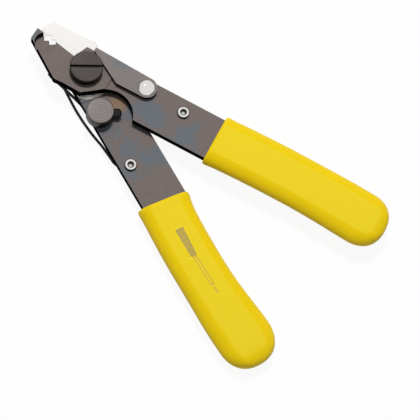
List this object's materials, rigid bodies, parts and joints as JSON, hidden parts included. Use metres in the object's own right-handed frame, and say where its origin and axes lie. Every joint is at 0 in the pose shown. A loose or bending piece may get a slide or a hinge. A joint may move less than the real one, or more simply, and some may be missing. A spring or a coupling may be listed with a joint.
{
  "type": "fibre stripper",
  "caption": "Hand-held optical fibre stripper: crossed steel plates with V-notched jaws on a slotted pivot screw, swing latch, closing stop, return spring and dipped vinyl grips.",
  "frame": {"origin": "on the pivot axis, at the back face of the pivot nut, the flat the tool lies on", "axes": "+X along the centre line from the jaws to the handles, +Y towards the front plate's handle, +Z along the pivot axis out of the front face"},
  "size_m": [0.1252, 0.0722, 0.0119],
  "materials": {
    "plate_steel": "black-oxide steel, worn bright on the rubbed faces",
    "grip_vinyl": "dipped vinyl, satin yellow",
    "dark_steel": "dark turned steel",
    "turned_steel": "turned steel with fine rings",
    "latch_steel": "grey steel sheet",
    "plated_steel": "bright nickel plate",
    "spring_steel": "black music wire"
  },
  "bodies": {
    "rear_half": {"rear_plate": "plate_steel", "rear_grip": "grip_vinyl", "pivot_screw": "dark_steel", "pivot_washer": "plated_steel", "pivot_nut": "plated_steel", "stop_post": "turned_steel", "stop_screw": "dark_steel", "post_clip": "plated_steel", "rear_socket_screw": "plated_steel", "rear_screw_nut": "plated_steel", "return_spring": "spring_steel"},
    "front_half": {"front_plate": "plate_steel", "front_grip": "grip_vinyl", "front_socket_screw": "plated_steel", "latch_rivet": "plated_steel", "latch_washer": "plated_steel", "spring_peg": "dark_steel"},
    "latch_lever": {"latch": "latch_steel"}
  },
  "joints": [
    {"name": "handle_pivot", "type": "hinge", "parent": "rear_half", "child": "front_half", "pos_m": [0, 0, 0], "axis": [0, 0, -1], "range_deg": [0, 11.5], "stiffness_Nm_per_rad": 0.5, "springref_deg": -17.19, "deforming": ["return_spring"]},
    {"name": "latch_swing", "type": "hinge", "parent": "front_half", "child": "latch_lever", "pos_m": [0.01775, 0.009, 0], "axis": [0, 0, -1], "range_deg": [0, 45]}
  ]
}
